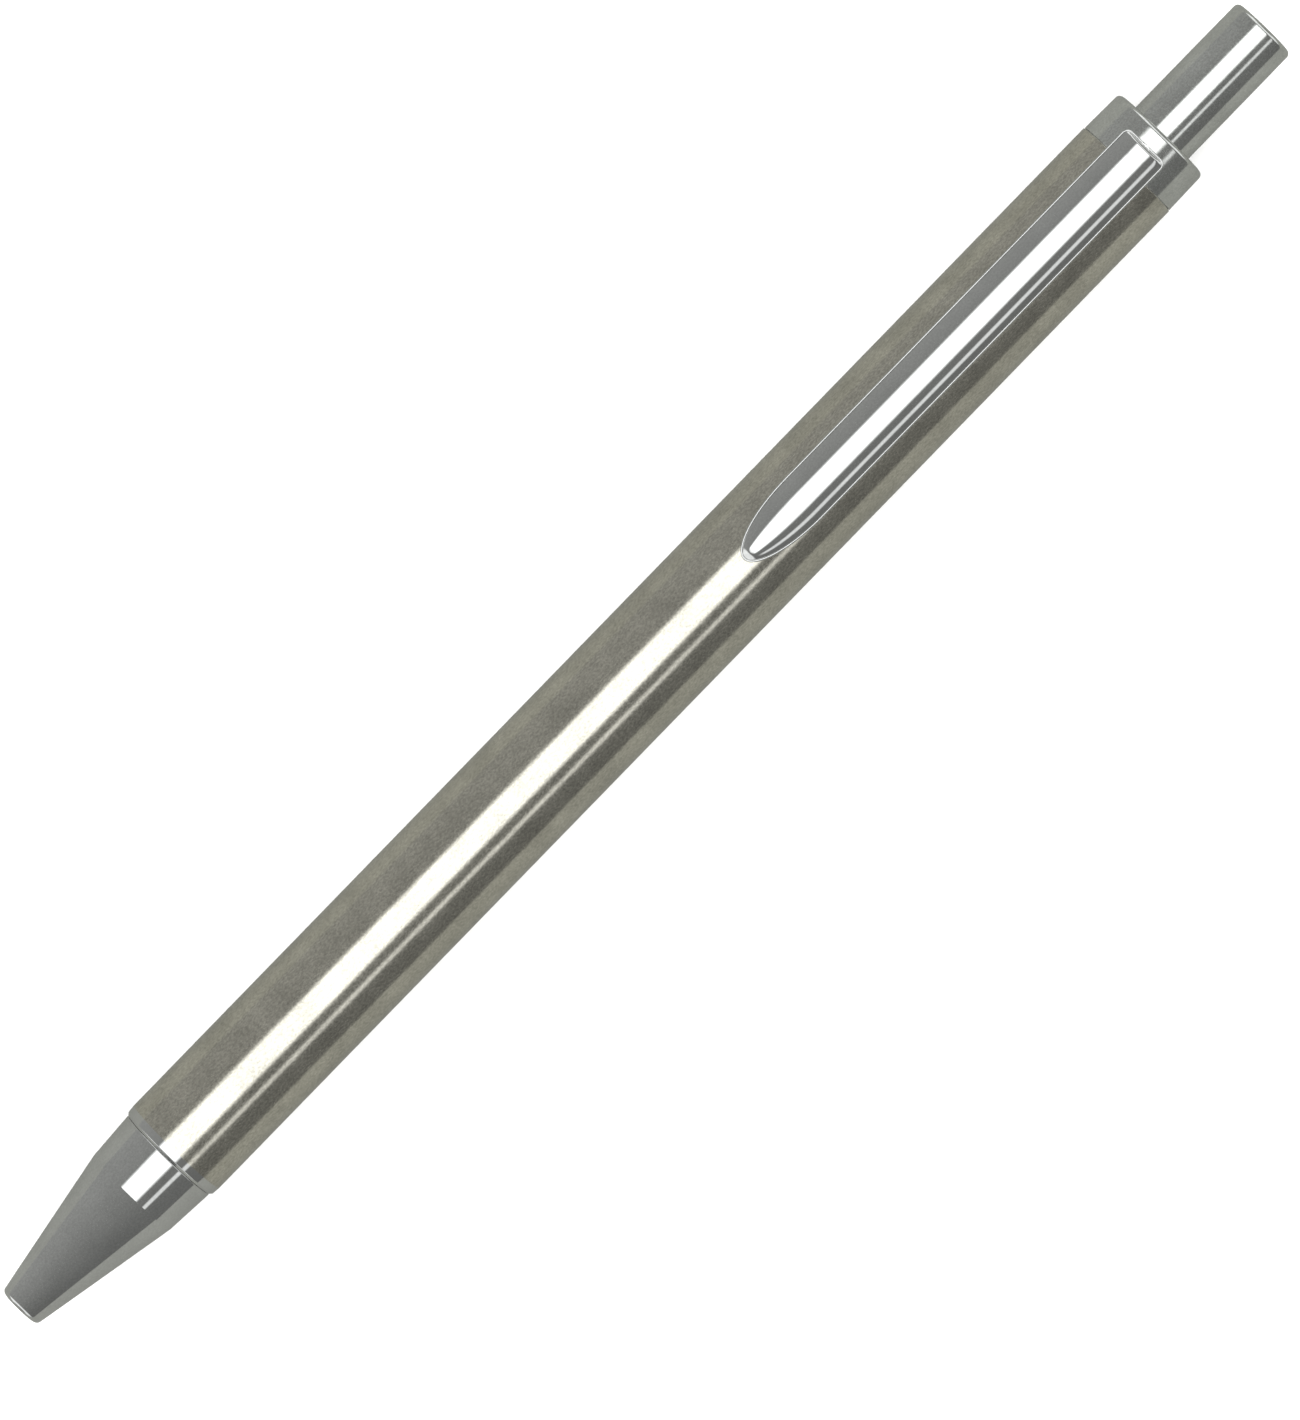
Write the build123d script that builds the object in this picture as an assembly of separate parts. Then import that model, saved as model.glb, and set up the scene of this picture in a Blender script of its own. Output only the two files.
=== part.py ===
from build123d import *
from math import sqrt
import os

# A click-action pen with a capless rollerball refill inside it, lying down with its clip on top.
# Millimetres. +X runs along the pen from the nose to the button and +Z is up, towards the clip.
# The origin is on the surface that the pen lies on, under the middle of its length and width.
# "Station" is the distance along the pen's axis from the nose's front face.

# ---- outside of the pen ----
PEN_LENGTH = 144.0
BARREL_RADIUS = 4.8
BARREL_WALL = 0.4
NOSE_TIP_RADIUS = 1.915
NOSE_CONE_END = 13.07
NOSE_CONE_RADIUS = 4.3
NOSE_END = 17.33
NOSE_END_RADIUS = 4.56
RING_EDGE = 0.2
RING_EDGE_RADIUS = 4.735
BARREL_START = 18.2
BARREL_END = 128.1
COLLAR_END = 132.1
COLLAR_RADIUS = 4.75
COLLAR_END_RADIUS = 4.685
BUTTON_RADIUS = 2.975
OUTER_EDGE_ROUND = 0.45

# ---- clip ----
CLIP_TIP = 84.0
CLIP_END = 130.5
CLIP_HALF_WIDTH = 2.2
CLIP_TIP_LENGTH = 7.0
CLIP_RIM_WIDTH = 0.2
CLIP_RIM_HEIGHT = 0.3
CLIP_CROWN = 0.55
CLIP_SHEET = 0.4
CLIP_CORNER_ROUND = 0.6
CLIP_BASE_AT_END = 4.55
CLIP_BASE_AT_NUB = 5.5
CLIP_NUB = 87.7
CLIP_NUB_RADIUS = 0.7
CLIP_ROOT_LENGTH = 2.4
CLIP_PIVOT = 129.3
CLIP_PIVOT_HEIGHT = 3.95
CLIP_BEAD_RADIUS = 0.45
CLIP_LEG_WIDTH = 2.4
CLIP_LEG_THICKNESS = 0.6

# ---- refill, a standard 110 mm capless rollerball ----
REFILL_POINT = 1.2
REFILL_LENGTH = 110.0
REFILL_RADIUS = 3.515
REFILL_WALL = 0.2
NEEDLE_RADIUS = 1.315
NEEDLE_BORE = 0.9
BALL_RADIUS = 0.35
WICK_RADIUS = 0.75

# ---- click mechanism and return spring ----
FULL_PRESS = 5.8
LATCHED_PRESS = 4.5
SPRING_SEAT = 8.0
SPRING_WIRE = 0.4
SPRING_COIL_RADIUS = 2.35
SPRING_TURNS = 9
RIB_COUNT = 4
RIB_WIDTH = 1.3
RIB_INSIDE = 2.5
RIB_RADIUS = 3.4

# ---- clearances ----
TOUCH_GAP = 0.05
RUNNING_GAP = 0.075
SLOT_GAP = 0.1
THREAD_GAP = 0.12

# ---- places that several pieces share ----
AXIS_HEIGHT = BARREL_RADIUS
MIDDLE = PEN_LENGTH / 2
BARREL_BORE = BARREL_RADIUS - BARREL_WALL
THREAD_RADIUS = 4.0
COLLAR_SPIGOT_START = 116.0
COLLAR_SPIGOT_BORE = 3.75
COLLAR_SHOULDER = 126.8
GUIDE_BORE = BUTTON_RADIUS + RUNNING_GAP
BUTTON_BORE = 2.45
BUTTON_FLANGE_START = 126.0
SLEEVE_END = BUTTON_FLANGE_START - FULL_PRESS - 0.2
ROTOR_RIB_TOP = 117.5
ROTOR_HEAD_TOP = 116.7
SLEEVE_STOPS = ROTOR_RIB_TOP - LATCHED_PRESS
HEAD_RADIUS = 2.95
PILOT_BORE = 1.25

# ---- places along the refill, from its own point ----
TIP_SEAM = 3.95
TIP_SHANK_END = 5.6
HOLDER_START = 14.8
NEEDLE_END = 17.0
HOLDER_STEP = 17.3
TUBE_START = 20.6
TUBE_END = 104.7
TUBE_BORE = REFILL_RADIUS - REFILL_WALL
RESERVOIR_START = 26.0
RESERVOIR_END = 101.0
RESERVOIR_RADIUS = TUBE_BORE - 0.165
WICK_END = 36.0


# ---- tools for every piece ----
def on_axis(shape):
    """Lift a shape made about the X axis up to the pen's axis."""
    return Pos(0, 0, AXIS_HEIGHT) * shape


def turned(outline, rounds=()):
    """A turned piece: an outline of (station, radius) corners spun about the pen's axis.

    A corner with a third value is a point that a curve passes through on its way to the next.
    rounds holds (station, radius, rounding) for each corner that is rounded off.
    """
    corners = [(corner[0] - MIDDLE, corner[1]) for corner in outline]
    count = len(outline)
    edges = []
    for index in range(count):
        after = (index + 1) % count
        if len(outline[index]) == 3:
            continue
        if len(outline[after]) == 3:
            beyond = (after + 1) % count
            edges += [ThreePointArc(corners[index], corners[after], corners[beyond])]
        else:
            edges += [Line(corners[index], corners[after])]
    profile = make_face(edges)
    for station, radius, rounding in rounds:
        corner = profile.vertices().sort_by_distance((station - MIDDLE, radius, 0))[0]
        profile = fillet(corner, rounding)
    return on_axis(revolve(Plane.XZ * profile, Axis.X, 360))


def refill_turned(outline, rounds=()):
    """The same for a refill piece, with stations counted from the refill's own point."""
    moved = [(corner[0] + REFILL_POINT,) + tuple(corner[1:]) for corner in outline]
    moved_rounds = [(station + REFILL_POINT, radius, size) for station, radius, size in rounds]
    return turned(moved, moved_rounds)


def sleeve_outline(start, end, inner, outer):
    """The outline of a plain tube."""
    return [(start, inner), (start, outer), (end, outer), (end, inner)]


def block(station, length, width, low, high):
    """A box centred at a station, from height low to high above the axis."""
    return on_axis(Pos(station - MIDDLE, 0, (low + high) / 2) * Box(length, width, high - low))


def cross_rod(station, height, radius, length):
    """A round rod lying across the pen."""
    return on_axis(Pos(station - MIDDLE, 0, height) * Rot(90, 0, 0) * Cylinder(radius, length))


def rib(corners, low, high):
    """A rib standing out from the axis: (station, sideways) corners raised from low to high."""
    face = make_face(Polyline([(station - MIDDLE, side) for station, side in corners], close=True))
    return Pos(0, 0, low) * extrude(face, high - low, dir=(0, 0, 1))


def around(shape, first_angle=0.0):
    """Copies of a rib or cut spaced evenly about the pen's axis."""
    step = 360 / RIB_COUNT
    return [on_axis(Rot(first_angle + step * number, 0, 0) * shape) for number in range(RIB_COUNT)]


def coil(start, length, turns, coil_radius, wire_radius):
    """A round wire wound about the pen's axis."""
    path = Helix(pitch=length / turns, height=length, radius=coil_radius)
    section = Plane(origin=path @ 0, z_dir=path % 0) * Circle(wire_radius)
    wire = sweep(section, path=path, is_frenet=True)
    return on_axis(Pos(start - MIDDLE, 0, 0) * Rot(0, 90, 0) * wire)


# ---- outside of the pen ----
def nose_cone():
    """The screwed-on nose: a cone, a short band and a spigot that carries the thread."""
    point_bore = 1.425
    spring_bore = 2.65
    spring_bore_end = 12.2
    holder_bore = 3.4
    holder_bore_end = 15.4
    refill_bore = 3.63
    spigot_radius = THREAD_RADIUS - THREAD_GAP
    spigot_end = 22.6
    outline = [
        (0.0, point_bore), (0.0, NOSE_TIP_RADIUS), (NOSE_CONE_END, NOSE_CONE_RADIUS),
        (NOSE_END, NOSE_END_RADIUS), (NOSE_END, spigot_radius), (spigot_end, spigot_radius),
        (spigot_end, refill_bore), (holder_bore_end, refill_bore), (holder_bore_end, holder_bore),
        (spring_bore_end, holder_bore), (spring_bore_end, spring_bore), (SPRING_SEAT, spring_bore),
        (SPRING_SEAT, point_bore),
    ]
    return turned(outline, [(0.0, NOSE_TIP_RADIUS, OUTER_EDGE_ROUND)])


def front_bush():
    """The threaded bush pressed into the barrel, with a tapered ring that shows at the joint."""
    thread_bore = THREAD_RADIUS + THREAD_GAP
    bush_end = 24.2
    outline = [
        (NOSE_END, thread_bore), (NOSE_END, NOSE_END_RADIUS),
        (NOSE_END + RING_EDGE, RING_EDGE_RADIUS), (BARREL_START, BARREL_RADIUS),
        (BARREL_START, BARREL_BORE), (bush_end, BARREL_BORE), (bush_end, thread_bore),
    ]
    return turned(outline)


def barrel_tube():
    """The brushed tube."""
    return turned(sleeve_outline(BARREL_START, BARREL_END, BARREL_BORE, BARREL_RADIUS))


def top_collar():
    """The collar that guides the button and holds the clip's bead in a cross slot."""
    mouth_round = 0.12
    outline = [
        (COLLAR_SPIGOT_START, COLLAR_SPIGOT_BORE), (COLLAR_SPIGOT_START, BARREL_BORE),
        (BARREL_END, BARREL_BORE), (BARREL_END, COLLAR_RADIUS), (COLLAR_END, COLLAR_END_RADIUS),
        (COLLAR_END, GUIDE_BORE), (COLLAR_SHOULDER, GUIDE_BORE), (COLLAR_SHOULDER, COLLAR_SPIGOT_BORE),
    ]
    rounds = [(COLLAR_END, COLLAR_END_RADIUS, OUTER_EDGE_ROUND), (COLLAR_END, GUIDE_BORE, mouth_round)]
    slot_width = CLIP_LEG_WIDTH + 2 * SLOT_GAP
    slot_length = CLIP_LEG_THICKNESS + 2 * SLOT_GAP
    slot = block(CLIP_PIVOT, slot_length, slot_width, CLIP_PIVOT_HEIGHT, BARREL_RADIUS + 1)
    socket = cross_rod(CLIP_PIVOT, CLIP_PIVOT_HEIGHT, CLIP_BEAD_RADIUS + 0.02, slot_width)
    return turned(outline, rounds) - slot - socket


def push_button():
    """The hollow button, with a flange inside the collar that stops it from coming out."""
    crown_inside = PEN_LENGTH - 1.0
    flange_radius = 3.6
    flange_end = COLLAR_SHOULDER - TOUCH_GAP
    outline = [
        (BUTTON_FLANGE_START, BUTTON_BORE), (BUTTON_FLANGE_START, flange_radius),
        (flange_end, flange_radius), (flange_end, BUTTON_RADIUS), (PEN_LENGTH, BUTTON_RADIUS),
        (PEN_LENGTH, 0.0), (crown_inside, 0.0), (crown_inside, BUTTON_BORE),
    ]
    return turned(outline, [(PEN_LENGTH, BUTTON_RADIUS, OUTER_EDGE_ROUND)])


# ---- clip ----
def clip_base(station):
    """Height above the axis of the underside of the clip's rim: it rises towards the nub."""
    slope = (CLIP_BASE_AT_NUB - CLIP_BASE_AT_END) / (CLIP_END - CLIP_NUB)
    return CLIP_BASE_AT_END + slope * (CLIP_END - station)


def clip_share(station):
    """The clip's width as a share of its full width: half an ellipse at the tip, then parallel."""
    along = min((station - CLIP_TIP) / CLIP_TIP_LENGTH, 1.0)
    return sqrt(1 - (1 - along) ** 2)


def clip_plane(station):
    """The plane across the pen at a station, with its first axis sideways and its second up."""
    return Plane(origin=(station - MIDDLE, 0, 0), x_dir=(0, 1, 0), z_dir=(1, 0, 0))


def clip_section(station):
    """A cross-section of the clip as a solid shape: a low dome on a thin rim."""
    share = clip_share(station)
    base = clip_base(station)
    rim_top = base + CLIP_RIM_HEIGHT
    edge = CLIP_HALF_WIDTH * share
    dome = (CLIP_HALF_WIDTH - CLIP_RIM_WIDTH) * share
    outline = [
        Line((edge, base), (-edge, base)), Line((-edge, base), (-edge, rim_top)),
        Line((-edge, rim_top), (-dome, rim_top)),
        ThreePointArc((-dome, rim_top), (0, rim_top + CLIP_CROWN * share), (dome, rim_top)),
        Line((dome, rim_top), (edge, rim_top)), Line((edge, rim_top), (edge, base)),
    ]
    return clip_plane(station) * make_face(outline)


def clip_hollow_section(station):
    """A cross-section of the hollow under the dome, reaching just below the rim."""
    share = clip_share(station)
    below = clip_base(station) - 0.01
    inner = (CLIP_HALF_WIDTH - CLIP_RIM_WIDTH - CLIP_SHEET) * share
    top = clip_base(station) + (CLIP_RIM_HEIGHT + CLIP_CROWN - CLIP_SHEET) * share
    outline = [
        ThreePointArc((-inner, below), (0, top), (inner, below)),
        Line((inner, below), (-inner, below)),
    ]
    return clip_plane(station) * make_face(outline)


def pocket_clip():
    """The sprung clip: a domed strip, a nub near its tip, and a leg with a bead in the collar."""
    tip_shares = [0.02, 0.08, 0.2, 0.4, 0.7, 1.0]
    tip = [CLIP_TIP + CLIP_TIP_LENGTH * share for share in tip_shares]
    hollow_tip = tip[2:]
    hollow_end = CLIP_END - CLIP_ROOT_LENGTH
    clip = loft([clip_section(station) for station in tip])
    clip += loft([clip_section(tip[-1]), clip_section(CLIP_END)])
    plan_length = CLIP_END - CLIP_TIP + 2 * CLIP_CORNER_ROUND
    plan = Pos(CLIP_END - plan_length / 2 - MIDDLE, 0) * RectangleRounded(
        plan_length, 2 * CLIP_HALF_WIDTH, CLIP_CORNER_ROUND)
    clip &= extrude(plan, 2 * BARREL_RADIUS, dir=(0, 0, 1))
    clip -= loft([clip_hollow_section(station) for station in hollow_tip])
    clip -= loft([clip_hollow_section(tip[-1]), clip_hollow_section(hollow_end)])
    nub_height = BARREL_RADIUS + TOUCH_GAP + CLIP_NUB_RADIUS
    clip += Pos(CLIP_NUB - MIDDLE, 0, nub_height) * Sphere(CLIP_NUB_RADIUS)
    collar_room = Pos(CLIP_END - MIDDLE, 0, 0) * Rot(0, 90, 0) * Cylinder(BARREL_RADIUS + TOUCH_GAP, 20)
    clip = on_axis(clip - collar_room)
    leg_top = CLIP_BASE_AT_END + CLIP_RIM_HEIGHT
    leg = block(CLIP_PIVOT, CLIP_LEG_THICKNESS, CLIP_LEG_WIDTH, CLIP_PIVOT_HEIGHT, leg_top)
    bead = cross_rod(CLIP_PIVOT, CLIP_PIVOT_HEIGHT, CLIP_BEAD_RADIUS, CLIP_LEG_WIDTH)
    return clip + leg + bead


# ---- click mechanism ----
def cam_sleeve():
    """The fixed sleeve: four channels, and between them sloped stops that hold the rotor out."""
    skirt_start = 108.5
    skirt_bore = 3.5
    skirt_radius = BARREL_BORE - TOUCH_GAP
    sleeve_bore = HEAD_RADIUS + SLOT_GAP
    outline = [
        (skirt_start, skirt_bore), (skirt_start, skirt_radius), (COLLAR_SPIGOT_START, skirt_radius),
        (COLLAR_SPIGOT_START, COLLAR_SPIGOT_BORE), (SLEEVE_END, COLLAR_SPIGOT_BORE),
        (SLEEVE_END, sleeve_bore), (SLEEVE_STOPS, sleeve_bore), (SLEEVE_STOPS, skirt_bore),
    ]
    half = RIB_WIDTH / 2 + SLOT_GAP
    front = SLEEVE_STOPS - 1
    back = SLEEVE_END + 1
    channel = rib([(front, -half), (back, -half), (back, half), (front, half)],
                  RIB_INSIDE, RIB_RADIUS + TOUCH_GAP)
    land_half = 1.9
    slope_rise = 1.2
    below_stops = SLEEVE_STOPS - 0.1
    slope = rib([(below_stops, -land_half), (below_stops, land_half),
                 (SLEEVE_STOPS + slope_rise, -land_half)], RIB_INSIDE, RIB_RADIUS)
    sleeve = turned(outline)
    for cut in around(channel) + around(slope, 180 / RIB_COUNT):
        sleeve -= cut
    return sleeve


def cam_rotor():
    """The rotor that pushes the refill: four ribs with sloped tops ride in the channels."""
    foot = REFILL_POINT + REFILL_LENGTH + TOUCH_GAP
    hub_radius = 2.3
    head_start = 114.6
    rib_start = 115.0
    pilot_bottom = 113.5
    outline = [
        (foot, 0.0), (foot, hub_radius), (head_start, hub_radius), (head_start, HEAD_RADIUS),
        (ROTOR_HEAD_TOP, HEAD_RADIUS), (ROTOR_HEAD_TOP, PILOT_BORE), (pilot_bottom, PILOT_BORE),
        (pilot_bottom, 0.0),
    ]
    half = RIB_WIDTH / 2
    one_rib = rib([(rib_start, -half), (rib_start, half), (ROTOR_HEAD_TOP + 0.1, half),
                   (ROTOR_RIB_TOP, -half)], RIB_INSIDE, RIB_RADIUS)
    rotor = turned(outline)
    for piece in around(one_rib):
        rotor += piece
    return rotor


def plunger():
    """The splined plunger fixed in the button; its sloped splines press on the rotor's ribs."""
    pilot_start = 114.0
    pilot_radius = PILOT_BORE - SLOT_GAP
    core_start = ROTOR_HEAD_TOP + SLOT_GAP
    core_radius = RIB_INSIDE - SLOT_GAP
    head_start = ROTOR_RIB_TOP + SLOT_GAP
    head_end = SLEEVE_END - SLOT_GAP
    stem_end = 136.0
    outline = [
        (pilot_start, 0.0), (pilot_start, pilot_radius), (core_start, pilot_radius),
        (core_start, core_radius), (head_start, core_radius), (head_start, HEAD_RADIUS),
        (head_end, HEAD_RADIUS), (head_end, BUTTON_BORE), (stem_end, BUTTON_BORE), (stem_end, 0.0),
    ]
    half = RIB_WIDTH / 2
    spline = rib([(head_start, -half), (core_start + 0.1, half), (head_end, half),
                  (head_end, -half)], RIB_INSIDE, RIB_RADIUS)
    piece = turned(outline)
    for copy in around(spline):
        piece += copy
    return piece


def return_spring():
    """The spring between the nose's inner shoulder and the step on the refill's point holder."""
    wire_radius = SPRING_WIRE / 2
    seat = SPRING_SEAT + wire_radius + TOUCH_GAP
    far_end = REFILL_POINT + HOLDER_STEP - wire_radius - TOUCH_GAP
    return coil(seat, far_end - seat, SPRING_TURNS, SPRING_COIL_RADIUS, wire_radius)


# ---- refill ----
def refill_tube():
    """The refill's thin metal tube."""
    return refill_turned(sleeve_outline(TUBE_START, TUBE_END, TUBE_BORE, REFILL_RADIUS))


def refill_end_plug():
    """The black stepped plug at the refill's back, which the rotor pushes."""
    plug_radius = 2.585
    insert_start = TUBE_END - 3.0
    flange_end = TUBE_END + 0.75
    flange_radius = REFILL_RADIUS - 0.1
    edge_round = 0.25
    outline = [
        (insert_start, 0.0), (insert_start, TUBE_BORE), (TUBE_END, TUBE_BORE),
        (TUBE_END, REFILL_RADIUS), (flange_end, flange_radius), (flange_end, plug_radius),
        (REFILL_LENGTH, plug_radius), (REFILL_LENGTH, 0.0),
    ]
    return refill_turned(outline, [(REFILL_LENGTH, plug_radius, edge_round)])


def point_holder():
    """The black stepped front of the refill, which holds the needle and takes the spring."""
    front_radius = 2.01
    first_ring, first_ring_radius = 18.48, 3.03
    second_ring, second_ring_radius = 20.15, 3.24
    lip_radius = 3.45
    insert_end = 25.0
    wick_bore = WICK_RADIUS + TOUCH_GAP
    outline = [
        (HOLDER_START, NEEDLE_RADIUS), (HOLDER_START, front_radius), (HOLDER_STEP, front_radius),
        (HOLDER_STEP, first_ring_radius), (first_ring, first_ring_radius),
        (first_ring, second_ring_radius), (second_ring, second_ring_radius),
        (second_ring, lip_radius), (TUBE_START, lip_radius), (TUBE_START, TUBE_BORE),
        (insert_end, TUBE_BORE), (insert_end, wick_bore), (NEEDLE_END, wick_bore),
        (NEEDLE_END, NEEDLE_RADIUS),
    ]
    rounds = [(HOLDER_START, front_radius, 0.2), (HOLDER_STEP, first_ring_radius, 0.15)]
    return refill_turned(outline, rounds)


def needle_tube():
    """The long steel tube between the holder and the point."""
    return refill_turned(sleeve_outline(TIP_SEAM, NEEDLE_END, NEEDLE_BORE, NEEDLE_RADIUS))


def point_tip():
    """The bullet-shaped point, with a socket for the ball and a bore for its little spring."""
    socket = BALL_RADIUS + 0.02
    lip = 0.24
    lip_inner = sqrt(socket ** 2 - (BALL_RADIUS - lip) ** 2)
    lip_outer = lip_inner + 0.03
    bore = 0.32
    bore_start = BALL_RADIUS + sqrt(socket ** 2 - bore ** 2)
    bullet_middle, bullet_middle_radius = 1.6, 0.93
    bullet_end, bullet_end_radius = 3.6, 1.3
    outline = [
        (lip, lip_inner), (lip, lip_outer), (bullet_middle, bullet_middle_radius, "curve"),
        (bullet_end, bullet_end_radius), (TIP_SEAM, NEEDLE_RADIUS), (TIP_SEAM, NEEDLE_BORE),
        (TIP_SHANK_END, NEEDLE_BORE), (TIP_SHANK_END, bore), (bore_start, bore),
        (BALL_RADIUS, socket, "curve"),
    ]
    return refill_turned(outline)


def writing_ball():
    """The ball that writes."""
    return on_axis(Pos(REFILL_POINT + BALL_RADIUS - MIDDLE, 0, 0) * Sphere(BALL_RADIUS))


def ball_spring():
    """The fine spring that holds the ball against its seat."""
    first_turn = REFILL_POINT + 1.0
    return coil(first_turn, 4.2, 8, 0.2, 0.06)


def feed_wick():
    """The fibre rod that carries ink from the reservoir to the point."""
    wick_start = TIP_SHANK_END + 0.1
    return refill_turned(sleeve_outline(wick_start, WICK_END, 0.0, WICK_RADIUS))


def ink_reservoir():
    """The fibre bundle that holds the ink, with a blind hole for the wick."""
    hole = WICK_RADIUS + 0.01
    hole_end = WICK_END + 0.1
    outline = [
        (RESERVOIR_START, hole), (RESERVOIR_START, RESERVOIR_RADIUS),
        (RESERVOIR_END, RESERVOIR_RADIUS), (RESERVOIR_END, 0.0), (hole_end, 0.0), (hole_end, hole),
    ]
    return refill_turned(outline)


def reservoir_film():
    """The plastic film wrapped round the fibre bundle."""
    outer = RESERVOIR_RADIUS + 0.1
    return refill_turned(sleeve_outline(RESERVOIR_START, RESERVOIR_END, RESERVOIR_RADIUS, outer))


PIECES = [
    nose_cone, front_bush, barrel_tube, top_collar, pocket_clip, push_button, plunger, cam_rotor,
    cam_sleeve, return_spring, refill_tube, refill_end_plug, point_holder, needle_tube, point_tip,
    writing_ball, ball_spring, feed_wick, ink_reservoir, reservoir_film,
]

os.makedirs("parts", exist_ok=True)
for make in PIECES:
    export_step(make(), f"parts/{make.__name__}.step")
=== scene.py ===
from math import asin, atan2, ceil, cos, pi, radians, sin, sqrt, tan

import bmesh
import bpy
from mathutils import Matrix, Vector


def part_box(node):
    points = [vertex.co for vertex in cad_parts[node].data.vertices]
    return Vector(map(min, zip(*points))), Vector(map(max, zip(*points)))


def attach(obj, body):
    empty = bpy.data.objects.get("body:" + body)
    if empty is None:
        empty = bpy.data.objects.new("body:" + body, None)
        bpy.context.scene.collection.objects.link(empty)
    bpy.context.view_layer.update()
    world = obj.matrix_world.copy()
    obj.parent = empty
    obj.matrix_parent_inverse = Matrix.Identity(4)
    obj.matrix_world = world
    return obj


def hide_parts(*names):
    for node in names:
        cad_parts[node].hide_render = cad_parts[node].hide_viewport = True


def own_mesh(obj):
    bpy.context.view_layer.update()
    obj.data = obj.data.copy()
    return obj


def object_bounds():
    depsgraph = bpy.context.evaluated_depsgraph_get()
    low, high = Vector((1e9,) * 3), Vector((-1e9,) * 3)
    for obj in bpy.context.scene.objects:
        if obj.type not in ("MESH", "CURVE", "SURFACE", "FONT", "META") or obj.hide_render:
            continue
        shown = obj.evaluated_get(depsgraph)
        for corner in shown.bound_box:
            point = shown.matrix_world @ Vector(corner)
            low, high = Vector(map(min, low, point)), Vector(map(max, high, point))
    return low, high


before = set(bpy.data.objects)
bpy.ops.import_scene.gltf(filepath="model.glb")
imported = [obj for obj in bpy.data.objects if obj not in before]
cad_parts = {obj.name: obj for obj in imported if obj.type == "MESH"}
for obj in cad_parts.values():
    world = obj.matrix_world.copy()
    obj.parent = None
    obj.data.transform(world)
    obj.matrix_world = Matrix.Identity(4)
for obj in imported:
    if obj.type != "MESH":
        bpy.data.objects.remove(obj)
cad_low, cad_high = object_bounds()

# A retractable rollerball pen lying on a pale table with its clip on top.
# Shapes are given as (station, radius) in millimetres: station is the distance along the pen from
# the nose's front face, radius is the distance from the pen's axis. Blender's own unit is the metre.
MM = 0.001


# ---- places read from the frame ----
def station_of(x):
    """A place along the pen, in millimetres from the nose's front face."""
    return (x - cad_low.x) / MM


def span_of(node):
    """The first and last station of a CAD node."""
    low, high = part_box(node)
    return station_of(low.x), station_of(high.x)


def radius_of(node):
    """The outer radius of a turned CAD node, in millimetres."""
    low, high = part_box(node)
    return (high.y - low.y) / 2 / MM


AXIS_HEIGHT = (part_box("barrel_tube")[0].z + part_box("barrel_tube")[1].z) / 2
BARREL_START, BARREL_END = span_of("barrel_tube")
BARREL_RADIUS = radius_of("barrel_tube")
PEN_LENGTH = station_of(cad_high.x)
NOSE_END = span_of("front_bush")[0]
COLLAR_END = span_of("top_collar")[1]
CLIP_TIP, CLIP_END = span_of("pocket_clip")
NOSE_END_RADIUS = 4.56
RING_EDGE = 0.2
RING_EDGE_RADIUS = 4.735
BARREL_BORE = 4.4
SPRING_SEAT = 8.0


def at(station, side, height):
    """The Blender position of a point given in millimetres: station, sideways, and above the axis."""
    return Vector((cad_low.x + station * MM, side * MM, AXIS_HEIGHT + height * MM))


# ---- mesh tools ----
AROUND = 192
ARC_STEP = radians(9)
SUPPORT = 0.02


def rounded(outline):
    """Turn corners into points. A third value rounds a corner off with an arc of that radius.

    Returns (station, radius, crisp) points; the short supports beside an arc keep the flat
    stretches next to it flat when the surface is shaded smooth.
    """
    points = []
    count = len(outline)
    for index, corner in enumerate(outline):
        here = Vector(corner[:2])
        if len(corner) == 2:
            points.append((here.x, here.y, True))
            continue
        if corner[2] == "smooth":
            points.append((here.x, here.y, False))
            continue
        back = (Vector(outline[index - 1][:2]) - here).normalized()
        ahead = (Vector(outline[(index + 1) % count][:2]) - here).normalized()
        half = back.angle(ahead) / 2
        reach = corner[2] / tan(half)
        centre = here + (back + ahead).normalized() * corner[2] / sin(half)
        first = here + back * reach - centre
        last = here + ahead * reach - centre
        start = atan2(first.y, first.x)
        turn = (atan2(last.y, last.x) - start + pi) % (2 * pi) - pi
        steps = max(3, ceil(abs(turn) / ARC_STEP))
        beside = min(SUPPORT, corner[2] / 4)
        points.append((*(here + back * (reach + beside)), False))
        for step in range(steps + 1):
            angle = start + turn * step / steps
            points.append((*(centre + corner[2] * Vector((cos(angle), sin(angle)))), False))
        points.append((*(here + ahead * (reach + beside)), False))
    return points


def mesh_piece(name, points, faces, crisp_edges=()):
    """A new mesh object from positions in metres, shaded smooth with some crisp edges."""
    mesh = bpy.data.meshes.new(name)
    mesh.from_pydata(points, [], faces)
    mesh.validate()
    mesh.shade_smooth()
    wanted = {frozenset(pair) for pair in crisp_edges}
    if wanted:
        sharp = mesh.attributes.new("sharp_edge", "BOOLEAN", "EDGE")
        sharp.data.foreach_set("value", [frozenset(edge.vertices) in wanted for edge in mesh.edges])
    piece = bpy.data.objects.new(name, mesh)
    bpy.context.scene.collection.objects.link(piece)
    return piece


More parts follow.
